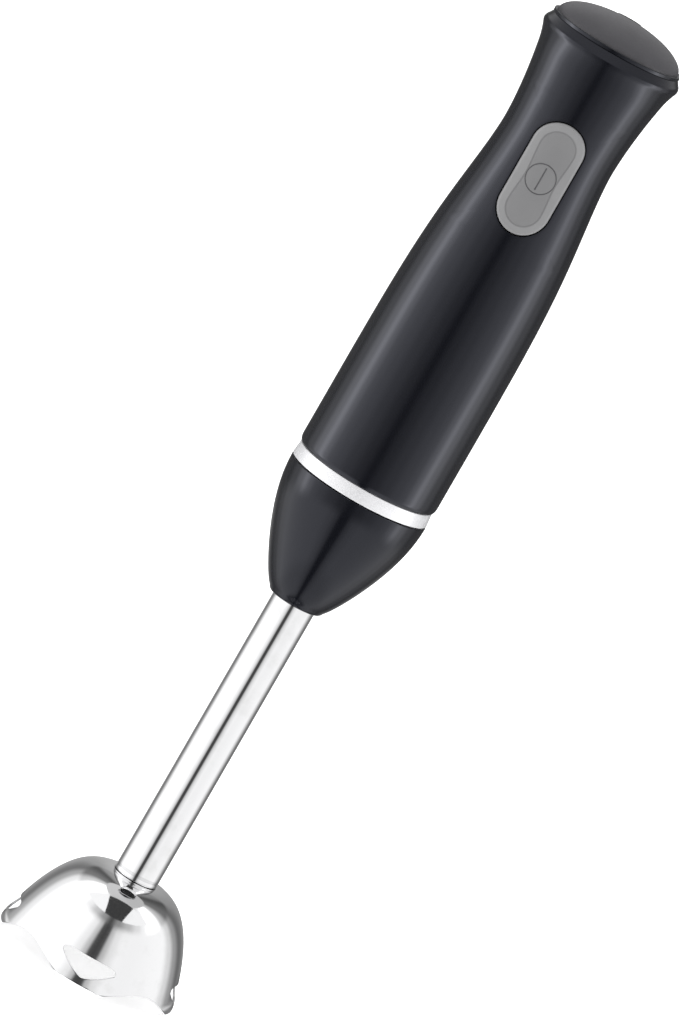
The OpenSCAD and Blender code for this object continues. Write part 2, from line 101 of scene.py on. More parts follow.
# ---------------------------------------------------------------- properties
class HandleSizes(bpy.types.PropertyGroup):
    """Sizes and colours of the handle, its cap and its button"""

    radius: bpy.props.FloatProperty(
        name="Handle radius", description="Largest radius of the handle", default=0.0263, unit="LENGTH")
    waist: bpy.props.FloatProperty(
        name="Waist radius", description="Radius of the handle at its waist", default=0.02075, unit="LENGTH")
    button_width: bpy.props.FloatProperty(
        name="Button width", description="Width of the power button", default=0.0186, unit="LENGTH")
    button_length: bpy.props.FloatProperty(
        name="Button length", description="Length of the power button", default=0.041, unit="LENGTH")
    shell_colour: bpy.props.StringProperty(
        name="Shell colour", description="sRGB hex of the gloss plastic", default="#0b0c11")
    cap_colour: bpy.props.StringProperty(
        name="Cap colour", description="sRGB hex of the satin cap", default="#3a393d")
    button_colour: bpy.props.StringProperty(
        name="Button colour", description="sRGB hex of the power button", default="#7b7b7c")


class StickSizes(bpy.types.PropertyGroup):
    """Sizes of the stick and its blade guard"""

    tube_radius: bpy.props.FloatProperty(
        name="Tube radius", description="Outside radius of the stick tube", default=0.008, unit="LENGTH")
    guard_radius: bpy.props.FloatProperty(
        name="Guard radius", description="Radius of the guard at its rim", default=0.0334, unit="LENGTH")
    guard_wall: bpy.props.FloatProperty(
        name="Guard wall", description="Thickness of the guard's steel", default=0.0009, unit="LENGTH")
    rim_rise: bpy.props.FloatProperty(
        name="Rim rise", description="How far the rim rises between two lobes", default=0.0071, unit="LENGTH")


# ---------------------------------------------------------------- meshes
def mesh_piece(name, points, faces, smooth=True):
    """A mesh object from an (n, 3) array of points in millimetres and a list of face index arrays."""
    mesh = bpy.data.meshes.new(name)
    mesh.from_pydata((points * MM).tolist(), [], [f for block in faces for f in block.tolist()])
    mesh.polygons.foreach_set("use_smooth", np.full(len(mesh.polygons), smooth))
    mesh.update()
    piece = bpy.data.objects.new(name, mesh)
    bpy.context.scene.collection.objects.link(piece)
    return piece


def tidy(piece, turn=True):
    """Merges points that share a place, which closes seams and poles, and points the faces outwards."""
    bm = bmesh.new()
    bm.from_mesh(piece.data)
    bmesh.ops.remove_doubles(bm, verts=bm.verts, dist=2e-6)
    bmesh.ops.dissolve_degenerate(bm, edges=bm.edges, dist=1e-7)
    if turn:
        bmesh.ops.recalc_face_normals(bm, faces=bm.faces)
    bm.to_mesh(piece.data)
    bm.free()
    piece.data.polygons.foreach_set("use_smooth", np.full(len(piece.data.polygons), True))
    piece.data.update()


def ring_faces(a, b):
    """Quads between two closed rows of point numbers of the same length."""
    return np.stack([a, np.roll(a, -1), np.roll(b, -1), b], axis=1)


def sweep_round(profile, count=192):
    """A closed (radius, height) outline turned about Z: x = r cos u, y = r sin u, z = h."""
    u = np.linspace(0, 2 * np.pi, count, endpoint=False)
    r, z = profile[:, 0][:, None], profile[:, 1][:, None]
    points = np.stack([r * np.cos(u), r * np.sin(u), z + 0 * u], axis=2).reshape(-1, 3)
    index = np.arange(len(points)).reshape(len(profile), count)
    rows = np.vstack([index, index[:1]])
    faces = [ring_faces(rows[i], rows[i + 1]) for i in range(len(profile))]
    return points, faces


def round_corners(outline, steps=6):
    """Rounds each corner of a closed outline of (x, y, r) rows with a quarter-like arc: a quadratic curve
    from the point r before the corner to the point r after it."""
    out = []
    n = len(outline)
    for i in range(n):
        p, q, s = outline[i - 1][:2], outline[i][:2], outline[(i + 1) % n][:2]
        r = outline[i][2]
        a = q + (p - q) / np.linalg.norm(p - q) * min(r, 0.45 * np.linalg.norm(p - q))
        b = q + (s - q) / np.linalg.norm(s - q) * min(r, 0.45 * np.linalg.norm(s - q))
        t = np.linspace(0, 1, steps)[:, None]
        out.append((1 - t) ** 2 * a + 2 * t * (1 - t) * q + t ** 2 * b)
    return np.vstack(out)


def skin_with_windows(place, us, vs, windows, rows):
    """An open skin over the grid us x vs (us goes once round), with shaped holes.

    place(u, v) gives points. A window is (first u, last u, first v, last v, hole), where hole(U, V, u, v)
    maps its edge points, U and V running -1 to 1, to (u, v) on the hole's outline. Between the window's
    edge and the outline, rings close up towards the outline. Returns the points and the faces.
    """
    nu, nv = len(us), len(vs)
    gu, gv = np.meshgrid(us, vs, indexing="ij")
    points = [place(gu.ravel(), gv.ravel())]
    index = np.arange(nu * nv).reshape(nu, nv)
    keep = np.ones((nu, nv - 1), bool)
    faces, total = [], nu * nv
    for a0, a1, b0, b1, hole in windows:
        cols = np.arange(a0, a1 + 1)
        keep[np.ix_(cols[:-1] % nu, np.arange(b0, b1))] = False
        path_a = np.concatenate([cols[:-1], np.full(b1 - b0, a1), cols[:0:-1], np.full(b1 - b0, a0)])
        path_b = np.concatenate([np.full(a1 - a0, b0), np.arange(b0, b1), np.full(a1 - a0, b1),
                                 np.arange(b1, b0, -1)])
        step = us[1] - us[0]
        u = us[0] + path_a * step
        v = vs[path_b]
        big_u = 2 * (path_a - a0) / (a1 - a0) - 1
        big_v = 2 * (path_b - b0) / (b1 - b0) - 1
        hu, hv = hole(big_u, big_v, u, v)
        last = index[path_a % nu, path_b]
        for k in range(1, rows + 1):
            t = 1 - (1 - k / rows) ** 1.25
            points.append(place(u + (hu - u) * t, v + (hv - v) * t))
            ring = total + np.arange(len(u))
            total += len(u)
            faces.append(ring_faces(last, ring))
            last = ring
    nxt = np.roll(index, -1, axis=0)
    quads = np.stack([index[:, :-1], nxt[:, :-1], nxt[:, 1:], index[:, 1:]], axis=2)
    faces.append(quads[keep])
    return np.vstack(points), faces


def thicken(piece, wall, bevel, segments=3, angle=50):
    """Gives a skin its wall, inwards, and rounds the edges of its rims."""
    solid = piece.modifiers.new("Wall", "SOLIDIFY")
    solid.thickness = wall * MM
    solid.offset = -1
    if bevel:
        edge = piece.modifiers.new("Edge", "BEVEL")
        edge.width = bevel * MM
        edge.segments = segments
        edge.limit_method = "ANGLE"
        edge.angle_limit = math.radians(angle)
        edge.use_clamp_overlap = True
        edge.harden_normals = False


def finish_piece(piece, body, material, slot, *nodes):
    """Gives a piece its finish and body, and lets it stand for its CAD nodes."""
    piece.data.materials.append(material)
    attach(piece, body)
    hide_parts(*nodes)


# ---------------------------------------------------------------- outlines
def handle_side(z, radius=26.3, waist=20.75):
    """Radius of the handle at height z. Below the waist it is the full radius less a bell curve centred on
    the waist, and above it the radius grows with the 1.7th power of the height."""
    low = radius - (radius - waist) * np.exp(-(np.maximum(WAIST - z, 0) / (0.267 * WAIST_RISE)) ** 1.7)
    high = waist + 4 * (np.maximum(z - WAIST, 0) / (CORNER - 2.6 - WAIST)) ** 1.7
    return np.where(z < WAIST, low, high)


def capsule_edge(x, z, width, length, mid):
    """Nearest point of an upright capsule outline to (x, z)."""
    half = (length - width) / 2
    cz = np.clip(z - mid, -half, half) + mid
    d = np.hypot(x, z - cz)
    return x / d * width / 2, cz + (z - cz) / d * width / 2


# ---------------------------------------------------------------- materials
def linear(hex_colour):
    """sRGB hex to linear RGBA."""
    c = np.array([int(hex_colour[i:i + 2], 16) / 255 for i in (1, 3, 5)])
    c = np.where(c <= 0.04045, c / 12.92, ((c + 0.055) / 1.055) ** 2.4)
    return (*c.tolist(), 1.0)


def add(tree, kind, settings=(), **links):
    """Adds a node. settings are attributes or input values, and links feed inputs from other nodes' outputs."""
    node = tree.nodes.new(kind)
    for key, value in dict(settings).items():
        if isinstance(key, str) and hasattr(node, key):
            setattr(node, key, value)
        else:
            node.inputs[key].default_value = value
    for key, source in links.items():
        name = key.replace("_", " ")
        socket = node.inputs[int(key[1:])] if key[0] == "i" and key[1:].isdigit() else node.inputs[name]
        tree.links.new(source, socket)
    return node


def new_finish(name, colour, metallic=0.0, roughness=0.4, **more):
    """A material with one Principled shader. Returns (material, tree, shader, object coordinates)."""
    material = bpy.data.materials.new(name)
    material.use_nodes = True
    tree = material.node_tree
    tree.nodes.clear()
    shader = add(tree, "ShaderNodeBsdfPrincipled", {
        "Base Color": linear(colour), "Metallic": metallic, "Roughness": roughness, **more})
    add(tree, "ShaderNodeOutputMaterial", Surface=shader.outputs[0])
    coords = add(tree, "ShaderNodeTexCoord").outputs["Object"]
    return material, tree, shader, coords


def noise(tree, vector, size_mm, detail=3.0, rough=0.5, stretch=None):
    """Noise whose lumps are about size_mm across. stretch scales X, Y and Z to draw the lumps out."""
    if stretch is not None:
        vector = add(tree, "ShaderNodeMapping", {"Scale": stretch}, Vector=vector).outputs[0]
    return add(tree, "ShaderNodeTexNoise", {"Scale": 1 / (size_mm * MM), "Detail": detail, "Roughness": rough},
               Vector=vector).outputs[0]


def remap(tree, value, low, high, out_low, out_high):
    """Value from low..high to out_low..out_high, smoothly and clamped."""
    return add(tree, "ShaderNodeMapRange", {"interpolation_type": "SMOOTHSTEP", 1: low, 2: high, 3: out_low,
                                            4: out_high}, i0=value).outputs[0]


def math_node(tree, operation, a, b=None):
    """a operation b, where each is a socket or a number."""
    node = add(tree, "ShaderNodeMath", {"operation": operation})
    for i, value in enumerate((a, b)):
        if value is None:
            continue
        if isinstance(value, (int, float)):
            node.inputs[i].default_value = value
        else:
            tree.links.new(value, node.inputs[i])
    return node.outputs[0]


def mix_colour(tree, factor, a, b):
    """Colour a where factor is 0 and b where it is 1. Each is a hex string or a socket."""
    node = add(tree, "ShaderNodeMix", {"data_type": "RGBA"}, i0=factor)
    for i, value in ((6, a), (7, b)):
        if isinstance(value, str):
            node.inputs[i].default_value = linear(value)
        else:
            tree.links.new(value, node.inputs[i])
    return node.outputs[2]


def bump(tree, shader, height, depth_mm, strength=1.0, below=None):
    """Feeds the shader's normal from a height of 0..1 that stands for depth_mm."""
    node = add(tree, "ShaderNodeBump", {"Strength": strength, "Distance": depth_mm * MM}, Height=height)
    if below is not None:
        tree.links.new(below, node.inputs["Normal"])
    tree.links.new(node.outputs[0], shader.inputs["Normal"])


def gloss_abs(name, colour, ior=1.53):
    """High-gloss ABS from a polished mould. The eye sees mirror-like lights, a very slight orange peel in
    them, and hairline wipe marks that only roughen the gloss."""
    material, tree, shader, at = new_finish(
        name, colour, roughness=0.13, IOR=ior, **{"Specular Tint": (0.86, 0.88, 1.0, 1.0)})
    peel = noise(tree, at, 5.0, 2.0)
    wipes = noise(tree, at, 1.2, 4.0, 0.65, (1.0, 1.0, 0.08))
    cloud = noise(tree, at, 22.0, 3.0)
    rough = math_node(tree, "ADD", remap(tree, wipes, 0.55, 0.8, 0.105, 0.15),
                      remap(tree, cloud, 0.3, 0.75, 0.0, 0.035))
    tree.links.new(rough, shader.inputs["Roughness"])
    dust = remap(tree, noise(tree, at, 0.9, 2.0), 0.66, 0.8, 0.0, 0.35)
    tree.links.new(mix_colour(tree, dust, colour, "#1d1d21"), shader.inputs["Base Color"])
    bump(tree, shader, peel, 0.012)
    return material


def satin_abs(name, colour, light, grain_mm=0.45, rough=0.42):
    """Satin ABS from a spark-eroded mould. The eye sees a soft wide sheen with a fine grain. The grain is
    drawn coarser than the real 0.1 mm so that it shows."""
    material, tree, shader, at = new_finish(name, colour, roughness=rough, IOR=1.5)
    grain = noise(tree, at, grain_mm, 3.0, 0.6)
    cloud = noise(tree, at, 14.0, 3.0)
    tint = mix_colour(tree, remap(tree, cloud, 0.3, 0.7, 0.0, 0.4), colour, light)
    tree.links.new(tint, shader.inputs["Base Color"])
    tree.links.new(remap(tree, grain, 0.3, 0.7, rough - 0.05, rough + 0.07), shader.inputs["Roughness"])
    bump(tree, shader, grain, 0.02)
    return material


def polished_steel(name, colour):
    """Mirror-polished 18/8 stainless steel. The eye sees sharp reflections with very fine polishing lines
    that run round the tube and the dome, and faint water marks."""
    material, tree, shader, at = new_finish(name, colour, metallic=1.0, roughness=0.07)
    lines = noise(tree, at, 0.55, 3.0, 0.7, (0.12, 0.12, 1.0))
    marks = noise(tree, at, 9.0, 5.0, 0.55)
    rough = math_node(tree, "ADD", remap(tree, lines, 0.3, 0.8, 0.045, 0.085),
                      remap(tree, marks, 0.5, 0.75, 0.0, 0.035))
    tree.links.new(rough, shader.inputs["Roughness"])
    tint = mix_colour(tree, remap(tree, marks, 0.45, 0.8, 0.0, 0.5), colour, "#d3d3d2")
    tree.links.new(tint, shader.inputs["Base Color"])
    bump(tree, shader, lines, 0.0012)
    return material


def brushed_metal(name, colour, dark, roughness=0.26, stretch=(0.05, 0.05, 1.0), size_mm=0.35, depth_mm=0.01):
    """Metal brushed with a grit belt. The eye sees fine lines along the stroke, and lights drawn out across
    it. Lines of about 0.05 mm are drawn coarser so that they show."""
    material, tree, shader, at = new_finish(name, colour, metallic=1.0, roughness=roughness)
    lines = noise(tree, at, size_mm, 4.0, 0.7, stretch)
    tint = mix_colour(tree, remap(tree, lines, 0.35, 0.7, 0.0, 1.0), dark, colour)
    tree.links.new(tint, shader.inputs["Base Color"])
    rough = remap(tree, lines, 0.3, 0.75, roughness - 0.07, roughness + 0.09)
    tree.links.new(rough, shader.inputs["Roughness"])
    bump(tree, shader, lines, depth_mm)
    return material


def silver_lacquer(name, colour, dark):
    """Silver lacquer. The eye sees a bright even grey-white with a soft sheen and very fine flake."""
    material, tree, shader, at = new_finish(name, colour, metallic=0.3, roughness=0.26)
    flake = noise(tree, at, 0.22, 2.0, 0.6)
    cloud = noise(tree, at, 6.0, 3.0)
    tint = mix_colour(tree, remap(tree, flake, 0.3, 0.6, 1.0, 0.0), colour, dark)
    tree.links.new(tint, shader.inputs["Base Color"])
    tree.links.new(remap(tree, cloud, 0.3, 0.7, 0.2, 0.32), shader.inputs["Roughness"])
    bump(tree, shader, flake, 0.004)
    return material


def moulded(name, colour, light, rough=0.5, grain_mm=0.6, depth_mm=0.02, **more):
    """Moulded nylon or rubber. The eye sees a dull even surface with flow clouds and a fine tooth."""
    material, tree, shader, at = new_finish(name, colour, roughness=rough, **more)
    flow = noise(tree, at, 11.0, 4.0, 0.6)
    tooth = noise(tree, at, grain_mm, 2.0)
    tint = mix_colour(tree, remap(tree, flow, 0.35, 0.7, 0.0, 0.7), colour, light)
    tree.links.new(tint, shader.inputs["Base Color"])
    tree.links.new(remap(tree, tooth, 0.3, 0.7, rough - 0.08, rough + 0.1), shader.inputs["Roughness"])
    bump(tree, shader, tooth, depth_mm)
    return material


def banded(name, dark, light, pitch_mm, metallic, rough, depth_mm, axis=2, duty=0.3):
    """Thin bands of one pitch along an axis, for laminations, wire turns and traces."""
    material, tree, shader, at = new_finish(name, light, metallic=metallic, roughness=rough)
    along = add(tree, "ShaderNodeSeparateXYZ", (), Vector=at).outputs[axis]
    saw = math_node(tree, "FRACT", math_node(tree, "DIVIDE", along, pitch_mm * MM))
    from_middle = math_node(tree, "ABSOLUTE", math_node(tree, "SUBTRACT", saw, 0.5))
    ridge = remap(tree, from_middle, 0.5 - duty, 0.5, 1.0, 0.0)
    stain = noise(tree, at, 3.0, 3.0)
    tree.links.new(mix_colour(tree, ridge, dark, light), shader.inputs["Base Color"])
    tree.links.new(remap(tree, stain, 0.3, 0.7, rough - 0.06, rough + 0.1), shader.inputs["Roughness"])
    bump(tree, shader, ridge, depth_mm)
    return material


def inside_finishes():
    """Finishes of the parts inside, by the record's material slot."""
    return {
        # unfilled black and grey nylon, injection moulded: dull, faint flow clouds
        "nylon_black": moulded("Moulded black nylon", "#161617", "#1f1f21", 0.48),
        "nylon_grey": moulded("Glass-filled grey nylon", "#3d3d40", "#4a4a4c", 0.55, 0.35, 0.035),
        "nylon_natural": moulded("Natural nylon", "#d5d0bd", "#dfdbcb", 0.45, 0.8, 0.015,
                                 **{"Subsurface Weight": 0.08}),
        # vulcanised rubber: matt, slightly chalky
        "soft_black": moulded("Moulded black rubber", "#0f0f10", "#1a1a1a", 0.72, 0.3, 0.04),
        "silicone_red": moulded("Red silicone rubber", "#a03028", "#ab3c33", 0.5, 0.5, 0.01),
        # zinc-plated and ground steels: turning or grinding lines
        "zinc_steel": brushed_metal("Zinc-plated steel", "#c9cbcc", "#a5a8ab", 0.3, (0.3, 0.3, 1.0), 0.3),
        "ground_steel": brushed_metal("Ground stainless steel", "#d6d6d6", "#b4b4b5", 0.22,
                                      (0.08, 0.08, 1.0), 0.3, 0.006),
        "plated_can": brushed_metal("Plated pressed steel", "#bfbdb6", "#9c9a94", 0.34, (0.6, 0.6, 0.1), 0.8),
        # sintered parts: fine open grain
        "ferrite": moulded("Sintered ferrite", "#26262a", "#333338", 0.6, 0.25, 0.05),
        "sintered_bronze": moulded("Oil-filled sintered bronze", "#a57e4b", "#8c6738", 0.42, 0.25, 0.04,
                                   Metallic=1.0),
        "carbon": moulded("Pressed carbon", "#1b1b1c", "#29292a", 0.62, 0.2, 0.04),
        "spring_brass": brushed_metal("Drawn brass wire", "#d3ab63", "#b28a45", 0.25, (1.0, 1.0, 1.0), 0.3),
        # lacquered board: tracks show as slightly raised lines under the lacquer
        "board_green": banded("Lacquered circuit board", "#0f5a2c", "#17713a", 1.8, 0.0, 0.25, 0.03, 0, 0.12),
        "capacitor_yellow": moulded("Cast yellow epoxy", "#d3a81c", "#dcb636", 0.35, 0.9, 0.01),
        "lead_red": moulded("Red wire insulation", "#b3201c", "#c02b24", 0.35, 1.0, 0.008),
        "laminated_steel": banded("Stacked steel laminations", "#4c4c4e", "#8d8d8f", 0.5, 1.0, 0.38, 0.05),
        "enamelled_copper": banded("Enamelled copper winding", "#5d2410", "#b9632c", 0.55, 0.85, 0.28, 0.12),
        "copper_bars": brushed_metal("Turned copper", "#d99a6c", "#b6754a", 0.25, (0.05, 0.05, 1.0), 0.3),
        "plunger_red": moulded("Red moulded plunger", "#b3281f", "#bd3429", 0.4, 0.6, 0.01),
    }


def button_finish(colour, mid, width, length):
    """Satin grey ABS with a moulded ring, bar and outline groove. The eye sees thin dark grooves: the
    outline is a capsule drawn in a little at its middle, the ring a circle, and the bar a short line."""
    material = satin_abs("Satin grey ABS, grooved", colour, "#868687", 0.4, 0.36)
    tree = material.node_tree
    shader = next(n for n in tree.nodes if n.type == "BSDF_PRINCIPLED")
    at = next(n for n in tree.nodes if n.type == "TEX_COORD").outputs["Object"]
    split = add(tree, "ShaderNodeSeparateXYZ", (), Vector=at)
    x, y = split.outputs[0], split.outputs[1]
    z = math_node(tree, "SUBTRACT", split.outputs[2], mid * MM)
    ring_away = math_node(tree, "SUBTRACT", math_node(tree, "POWER", math_node(tree, "ADD", math_node(
        tree, "MULTIPLY", x, x), math_node(tree, "MULTIPLY", z, z)), 0.5), 5.2 * MM)
    half = (length - width) / 2
    up_down = math_node(tree, "ABSOLUTE", z)
    beyond = math_node(tree, "MAXIMUM", math_node(tree, "SUBTRACT", up_down, half * MM), 0.0)
    pinch = math_node(tree, "MULTIPLY", remap(tree, up_down, 0.0, 11 * MM, 0.75, 0.0), MM)
    capsule = math_node(tree, "POWER", math_node(tree, "ADD", math_node(tree, "MULTIPLY", x, x), math_node(
        tree, "MULTIPLY", beyond, beyond)), 0.5)
    outline_away = math_node(tree, "ADD", math_node(tree, "SUBTRACT", capsule, (width / 2 - 3.1) * MM), pinch)
    bar_x = math_node(tree, "SUBTRACT", math_node(tree, "ABSOLUTE", x), 0.25 * MM)
    bar_z = math_node(tree, "SUBTRACT", math_node(tree, "ABSOLUTE", z), 4.1 * MM)
    bar_away = math_node(tree, "MAXIMUM", bar_x, bar_z)
    groove_shade_and_depth = None
    for away, wide, deep in ((ring_away, 0.26, 1.0), (outline_away, 0.42, 0.4)):
        line = remap(tree, math_node(tree, "ABSOLUTE", away), 0.35 * wide * MM, wide * MM, deep, 0.0)
        groove_shade_and_depth = line if groove_shade_and_depth is None else math_node(tree, "MAXIMUM", groove_shade_and_depth, line)
    field = remap(tree, outline_away, -0.5 * MM, 0.3 * MM, 1.0, 0.0)
    groove_shade_and_depth = math_node(tree, "MAXIMUM", groove_shade_and_depth, remap(tree, bar_away, -0.1 * MM, 0.1 * MM, 1.0, 0.0))
    front = remap(tree, y, -0.0165, -0.0175, 0.0, 1.0)
    groove_shade_and_depth = math_node(tree, "MULTIPLY", groove_shade_and_depth, front)
    base = shader.inputs["Base Color"].links[0].from_socket
    # the face inside the outline groove is drawn 40% of the way towards #606061, darker than the rim round it
    inside_face_darker = mix_colour(tree, math_node(tree, "MULTIPLY", field, 0.4), base, "#606061")
    # painted shade: the grooves are painted dark, 75% of the way towards #38383a, for the shade that falls in
    # them; the same mask also gives the bump its groove depth
    tint = mix_colour(tree, math_node(tree, "MULTIPLY", groove_shade_and_depth, 0.75), inside_face_darker, "#38383a")
    tree.links.new(tint, shader.inputs["Base Color"])
    below = shader.inputs["Normal"].links[0].from_socket
    height = math_node(tree, "SUBTRACT", math_node(tree, "SUBTRACT", 1.6, groove_shade_and_depth),
                       math_node(tree, "MULTIPLY", field, 0.6))
    bump(tree, shader, height, 0.25, 1.0, below)
    return material


FINISH = {}


def finish_of(key):
    """The finish of an outer piece, made once."""
    sizes = bpy.context.scene.blender_handle
    makers = {
        "gloss_black": lambda: gloss_abs("High-gloss black ABS", sizes.shell_colour),
        # painted shade: the collar gets its own copy of the gloss black with IOR 1.46, so its reflections come
        # out dimmer and it looks darker than the handle
        "gloss_collar_shaded": lambda: gloss_abs("Gloss black ABS of the collar", sizes.shell_colour, 1.46),
        "satin_grey": lambda: satin_abs("Satin dark grey ABS", sizes.cap_colour, "#48474b"),
        "brushed_ring": lambda: silver_lacquer("Silver lacquer on ABS", "#e6e6e8", "#d2d2d5"),
        "polished_steel": lambda: polished_steel("Mirror-polished stainless steel", "#e9e9ea"),
    }
    if key not in FINISH:
        FINISH[key] = makers[key]()
    return FINISH[key]


# ---------------------------------------------------------------- pieces
class HandleShell(bpy.types.Operator):
    """Waisted gloss sleeve with its round-ended button opening"""

    bl_idname = "blender_part.handle_shell"
    bl_label = "Handle Shell"

    def execute(self, context):
        """Radius is handle_side(z), the foot and the shoulder are short arcs, and rings run from the
        opening's capsule outline to the square window round it."""
        sizes = context.scene.blender_handle
        big, small = sizes.radius / MM, sizes.waist / MM
        width, length = sizes.button_width / MM + 0.9, sizes.button_length / MM + 0.9
        low, high = mm_box("power_button")
        mid = (low[2] + high[2]) / 2
        t = np.linspace(0, np.pi / 2, 9)
        foot = np.stack([big - 1.0 + 1.0 * np.sin(t), RING_HI + 0.05 + 2.4 * (1 - np.cos(t))], axis=1)
        win_lo, win_hi = mid - length / 2 - 6, mid + length / 2 + 6
        z = np.concatenate([np.linspace(RING_HI + 3.2, win_lo, 44)[:-1], np.linspace(win_lo, win_hi, 57)])
        body = np.stack([handle_side(z, big, small), z], axis=1)
        z = np.linspace(win_hi, CORNER - 0.9, 24)[1:]
        swell = (np.maximum(z - CORNER + 8.5, 0) / 8.5) ** 2.2
        flare = np.stack([handle_side(z, big, small) + swell, z], axis=1)
        t = np.linspace(0.04, 1, 13)[:, None]
        a, b = flare[-1], np.array([small + 4.5, CORNER + 1.45])
        corner = np.array([small + 5.4, CORNER + 0.35])
        arc = (1 - t) ** 2 * a + 2 * t * (1 - t) * corner + t ** 2 * b
        top = np.array([22.7, SHELL_TOP])
        slope = b + (top - b) * np.linspace(0.15, 0.93, 6)[:, None]
        lip = np.array([[22.78, -0.16], [22.68, -0.3], [22.62, -0.7], [22.62, -1.9]]) + [0, SHELL_TOP]
        outline = np.vstack([foot, body, flare, arc, slope, lip])
        place_r = outline[:, 0]
        heights = np.arange(len(outline), dtype=float)

        def place(u, v):
            r = np.interp(v, heights, place_r)
            h = np.interp(v, heights, outline[:, 1])
            in_body = (v >= len(foot)) & (v <= len(foot) + len(body) - 1)
            r = np.where(in_body, handle_side(h, big, small), r)
            return np.stack([r * np.cos(u), r * np.sin(u), h], axis=1)

        us = np.linspace(0, 2 * np.pi, 192, endpoint=False)
        b0 = len(foot) + 43
        b1 = b0 + 56

        def hole(big_u, big_v, u, v):
            h = np.interp(v, heights, outline[:, 1])
            r = handle_side(h, big, small)
            x, zz = capsule_edge(r * np.cos(u), h, width, length, mid)
            rr = handle_side(zz, big, small)
            return 1.5 * np.pi + np.arcsin(x / rr), np.interp(zz, outline[b0:b1 + 1, 1], heights[b0:b1 + 1])

        points, faces = skin_with_windows(place, us, heights, [(112, 176, b0, b1, hole)], 7)
        piece = mesh_piece("shell_skin", points, faces)
        thicken(piece, 1.7, 0.28)
        finish_piece(piece, "handle", finish_of("gloss_black"), "gloss_black", "handle_shell")
        return {"FINISHED"}


class TopCap(bpy.types.Operator):
    """Satin domed cap with the hole for its cord gland"""

    bl_idname = "blender_part.top_cap"
    bl_label = "Top Cap"

    def execute(self, context):
        """Height over the rim is the dome height times the square root of 1 minus the 2.1th power of
        radius over rim radius. The gland's hole is a circle seen along the gland's tilt."""
        rim, dome = 23.3, CAP_TOP - SHELL_TOP
        base = SHELL_TOP - 1.1

        def height(r):
            return base + (dome + 1.1) * np.sqrt(np.maximum(1 - (np.minimum(r, rim) / rim) ** 2.1, 0))

        s = np.linspace(0, np.pi / 2, 48)
        rs = np.concatenate([[0.0], np.sin(s[1:]) * rim])
        skirt = np.array([[rim - 0.3, base - 0.5], [rim - 0.9, base - 0.9], [20.7, base - 1.2],
                          [20.5, base - 1.2]])
        out_r = np.concatenate([rs, skirt[:, 0]])
        out_z = np.concatenate([height(rs), skirt[:, 1]])
        steps = np.arange(len(out_r), dtype=float)

        def place(u, v):
            r = np.interp(v, steps, out_r)
            h = np.where(v <= len(rs) - 1, height(r), np.interp(v, steps, out_z))
            return np.stack([r * np.cos(u), r * np.sin(u), h], axis=1)

        centre_y, centre_z = GLAND_BACK, SHELL_TOP + GLAND_UP

        def hole(big_u, big_v, u, v):
            turn = np.arctan2(big_v, big_u)
            x, back = -GLAND_R * np.cos(turn), GLAND_R * np.sin(turn)
            y = centre_y + back * math.cos(GLAND_TILT)
            drop = height(np.hypot(x, y)) - (centre_z - back * math.sin(GLAND_TILT))
            y = y + drop * math.tan(GLAND_TILT) * 0.9
            r = np.hypot(x, y)
            return np.arctan2(y, x), np.interp(r, rs, steps[:len(rs)])

        us = np.linspace(0, 2 * np.pi, 144, endpoint=False)
        b0, b1 = int(np.searchsorted(rs, 5.2)), int(np.searchsorted(rs, 20.2))
        points, faces = skin_with_windows(place, us, steps, [(18, 54, b0, b1, hole)], 8)
        faces = [block[:, ::-1] for block in faces]
        piece = mesh_piece("cap_skin", points, faces)
        tidy(piece, False)
        thicken(piece, 1.2, 0.22, 2)
        finish_piece(piece, "handle", finish_of("satin_grey"), "satin_grey", "top_cap")
        return {"FINISHED"}


class TrimRing(bpy.types.Operator):
    """Bright band between the handle and the stick"""

    bl_idname = "blender_part.trim_ring"
    bl_label = "Trim Ring"

    def execute(self, context):
        """A closed outline with rounded corners, leaning in a little towards its top, turned about Z."""
        lo, hi = RING_LO, RING_HI
        outline = np.array([[23.02, lo, 0.1], [26.05, lo, 0.35], [25.55, hi, 0.35], [23.02, hi, 0.1]])
        points, faces = sweep_round(round_corners(outline), 256)
        piece = mesh_piece("ring_band", points, faces)
        tidy(piece)
        finish_piece(piece, "handle", finish_of("brushed_ring"), "brushed_ring", "trim_ring")
        return {"FINISHED"}


